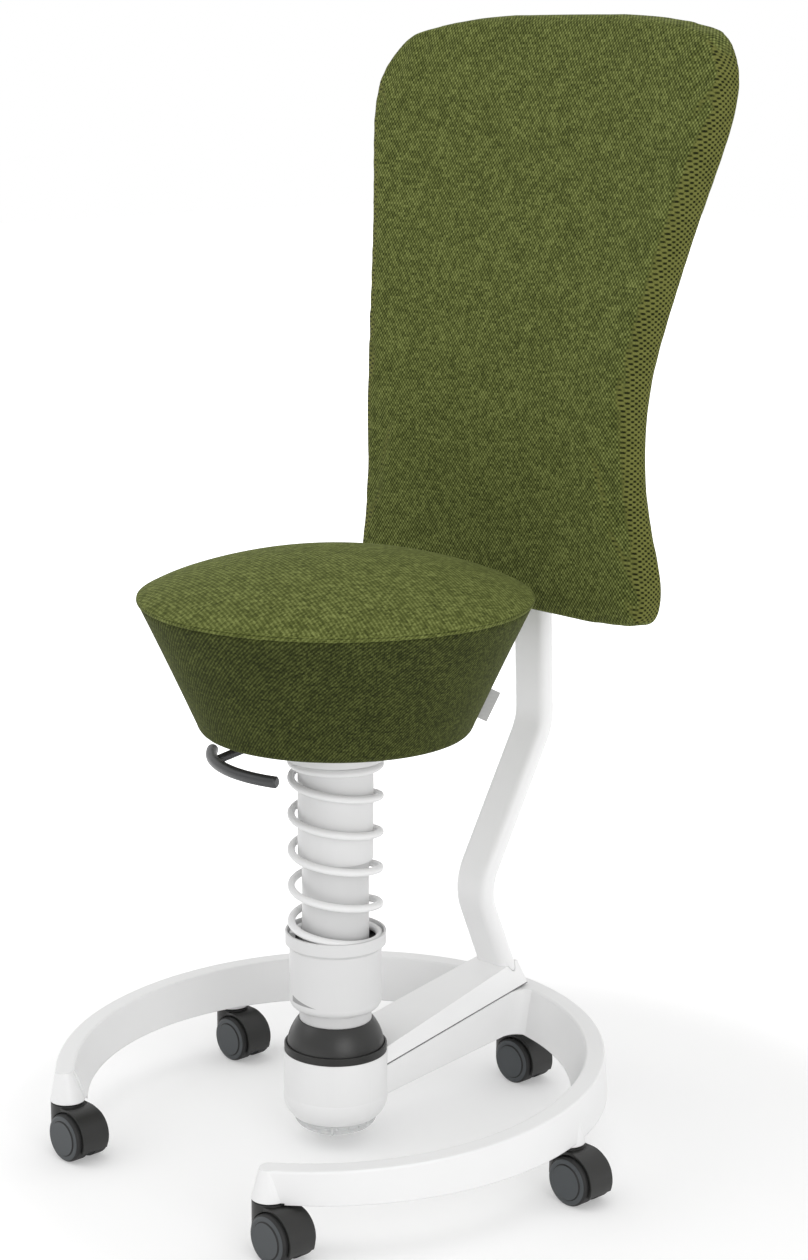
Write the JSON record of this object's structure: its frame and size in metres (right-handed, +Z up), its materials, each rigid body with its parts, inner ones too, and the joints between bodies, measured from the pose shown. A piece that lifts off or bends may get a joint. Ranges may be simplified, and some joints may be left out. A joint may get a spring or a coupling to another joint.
{
  "type": "active sitting stool with backrest",
  "caption": "Round fabric stool on a tilting sprung column, with a C-shaped ring base on casters and a tall fabric backrest on a bent bar.",
  "frame": {"origin": "on the floor, on the axis of the upright column", "axes": "+Z up along the column, -Y the way the sitter faces, +Y towards the backrest, +X to the sitter's left"},
  "size_m": [0.5933, 0.5926, 1.15],
  "materials": {
    "white_casting": "satin white powder coat on cast aluminium",
    "white_metal": "satin white powder coat",
    "white_plastic": "satin white plastic",
    "steel": "plain steel",
    "black_metal": "satin black",
    "black_rubber": "satin black rubber",
    "clear_plastic": "translucent, ribbed",
    "green_fabric": "heathered green weave",
    "label_cloth": "plain woven tab",
    "plywood": "plain plywood",
    "black_plastic": "matte black",
    "caster_black": "satin black",
    "wheel_grey": "dark grey face, black tread"
  },
  "bodies": {
    "base": {"base_casting": "white_casting", "foot_screws": "steel", "hub_yoke": "steel", "collar_ring": "black_rubber", "backrest_foot": "white_casting", "backrest_bar": "white_metal", "backrest_plate": "black_metal", "backrest_screws": "steel", "backrest_shell": "black_plastic", "backrest_cushion": "green_fabric"},
    "knob": {"tilt_knob": "clear_plastic", "knob_spindle": "steel"},
    "cross": {"pivot_cross": "steel"},
    "column": {"column_yoke": "steel", "boot": "black_rubber", "lower_tube": "white_metal"},
    "cup": {"spring_cup": "white_plastic", "spring_seat": "black_rubber", "coil_spring": "white_metal"},
    "upper_column": {"upper_tube": "white_plastic", "spring_plate": "white_metal", "gas_cylinder": "steel"},
    "post": {"seat_post": "steel"},
    "button": {"valve_button": "steel"},
    "seat": {"seat_socket": "black_metal", "seat_pan": "black_metal", "pan_screws": "steel", "seat_board": "plywood", "seat_cushion": "green_fabric", "seat_label": "label_cloth", "lever_pin": "steel"},
    "lever": {"lever": "black_metal"},
    "caster_1": {"caster_1_hood": "caster_black", "caster_1_stem": "steel", "caster_1_axle": "steel"},
    "caster_1_wheel_left": {"caster_1_wheel_left": "wheel_grey"},
    "caster_1_wheel_right": {"caster_1_wheel_right": "wheel_grey"},
    "caster_2": {"caster_2_hood": "caster_black", "caster_2_stem": "steel", "caster_2_axle": "steel"},
    "caster_2_wheel_left": {"caster_2_wheel_left": "wheel_grey"},
    "caster_2_wheel_right": {"caster_2_wheel_right": "wheel_grey"},
    "caster_3": {"caster_3_hood": "caster_black", "caster_3_stem": "steel", "caster_3_axle": "steel"},
    "caster_3_wheel_left": {"caster_3_wheel_left": "wheel_grey"},
    "caster_3_wheel_right": {"caster_3_wheel_right": "wheel_grey"},
    "caster_4": {"caster_4_hood": "caster_black", "caster_4_stem": "steel", "caster_4_axle": "steel"},
    "caster_4_wheel_left": {"caster_4_wheel_left": "wheel_grey"},
    "caster_4_wheel_right": {"caster_4_wheel_right": "wheel_grey"},
    "caster_5": {"caster_5_hood": "caster_black", "caster_5_stem": "steel", "caster_5_axle": "steel"},
    "caster_5_wheel_left": {"caster_5_wheel_left": "wheel_grey"},
    "caster_5_wheel_right": {"caster_5_wheel_right": "wheel_grey"}
  },
  "joints": [
    {"name": "tilt_forward", "type": "hinge", "parent": "base", "child": "cross", "pos_m": [0, 0, 0.101], "axis": [1, 0, 0], "range_deg": [-1, 10], "stiffness_Nm_per_rad": 300},
    {"name": "tilt_sideways", "type": "hinge", "parent": "cross", "child": "column", "pos_m": [0, 0, 0.101], "axis": [0, 1, 0], "range_deg": [-10, 10], "stiffness_Nm_per_rad": 300},
    {"name": "tilt_knob_turn", "type": "hinge", "parent": "base", "child": "knob", "pos_m": [0, 0, 0.023], "axis": [0, 0, 1], "range_deg": [-135, 135]},
    {"name": "spring_cup_turn", "type": "hinge", "parent": "column", "child": "cup", "pos_m": [0, 0, 0.193], "axis": [0, 0, 1], "range_deg": [-170, 170]},
    {"name": "suspension", "type": "slide", "parent": "column", "child": "upper_column", "axis": [0, 0, 1], "range_m": [-0.055, 0], "stiffness_N_per_m": 12000, "springref_m": 0.03, "deforming": ["coil_spring"]},
    {"name": "seat_height", "type": "slide", "parent": "upper_column", "child": "post", "axis": [0, 0, 1], "range_m": [0, 0.14]},
    {"name": "seat_swivel", "type": "hinge", "parent": "post", "child": "seat", "pos_m": [0, 0, 0.433], "axis": [0, 0, 1], "continuous": true},
    {"name": "lever_lift", "type": "hinge", "parent": "seat", "child": "lever", "pos_m": [-0.01998, -0.0392, 0.4465], "axis": [-0.891, 0.454, 0], "range_deg": [0, 4], "stiffness_Nm_per_rad": 20, "springref_deg": -5.73},
    {"name": "valve_press", "type": "slide", "parent": "post", "child": "button", "axis": [0, 0, -1], "range_m": [0, 0.0034]},
    {"name": "caster_1_swivel", "type": "hinge", "parent": "base", "child": "caster_1", "pos_m": [0, 0.2645, 0.053], "axis": [0, 0, 1], "continuous": true},
    {"name": "caster_1_wheel_left_spin", "type": "hinge", "parent": "caster_1", "child": "caster_1_wheel_left", "pos_m": [0.019, 0.2645, 0.025], "axis": [0, 1, 0], "continuous": true},
    {"name": "caster_1_wheel_right_spin", "type": "hinge", "parent": "caster_1", "child": "caster_1_wheel_right", "pos_m": [0.019, 0.2645, 0.025], "axis": [0, 1, 0], "continuous": true},
    {"name": "caster_2_swivel", "type": "hinge", "parent": "base", "child": "caster_2", "pos_m": [-0.25916, 0.07621, 0.053], "axis": [0, 0, 1], "continuous": true},
    {"name": "caster_2_wheel_left_spin", "type": "hinge", "parent": "caster_2", "child": "caster_2_wheel_left", "pos_m": [-0.24016, 0.07621, 0.025], "axis": [0, 1, 0], "continuous": true},
    {"name": "caster_2_wheel_right_spin", "type": "hinge", "parent": "caster_2", "child": "caster_2_wheel_right", "pos_m": [-0.24016, 0.07621, 0.025], "axis": [0, 1, 0], "continuous": true},
    {"name": "caster_3_swivel", "type": "hinge", "parent": "base", "child": "caster_3", "pos_m": [-0.16017, -0.22846, 0.053], "axis": [0, 0, 1], "continuous": true},
    {"name": "caster_3_wheel_left_spin", "type": "hinge", "parent": "caster_3", "child": "caster_3_wheel_left", "pos_m": [-0.14117, -0.22846, 0.025], "axis": [0, 1, 0], "continuous": true},
    {"name": "caster_3_wheel_right_spin", "type": "hinge", "parent": "caster_3", "child": "caster_3_wheel_right", "pos_m": [-0.14117, -0.22846, 0.025], "axis": [0, 1, 0], "continuous": true},
    {"name": "caster_4_swivel", "type": "hinge", "parent": "base", "child": "caster_4", "pos_m": [0.16017, -0.22846, 0.053], "axis": [0, 0, 1], "continuous": true},
    {"name": "caster_4_wheel_left_spin", "type": "hinge", "parent": "caster_4", "child": "caster_4_wheel_left", "pos_m": [0.17917, -0.22846, 0.025], "axis": [0, 1, 0], "continuous": true},
    {"name": "caster_4_wheel_right_spin", "type": "hinge", "parent": "caster_4", "child": "caster_4_wheel_right", "pos_m": [0.17917, -0.22846, 0.025], "axis": [0, 1, 0], "continuous": true},
    {"name": "caster_5_swivel", "type": "hinge", "parent": "base", "child": "caster_5", "pos_m": [0.25916, 0.07621, 0.053], "axis": [0, 0, 1], "continuous": true},
    {"name": "caster_5_wheel_left_spin", "type": "hinge", "parent": "caster_5", "child": "caster_5_wheel_left", "pos_m": [0.27816, 0.07621, 0.025], "axis": [0, 1, 0], "continuous": true},
    {"name": "caster_5_wheel_right_spin", "type": "hinge", "parent": "caster_5", "child": "caster_5_wheel_right", "pos_m": [0.27816, 0.07621, 0.025], "axis": [0, 1, 0], "continuous": true}
  ],
  "couplings": [
    {"joint": "valve_press", "follows": "lever_lift", "m_per_rad": 0.047}
  ]
}
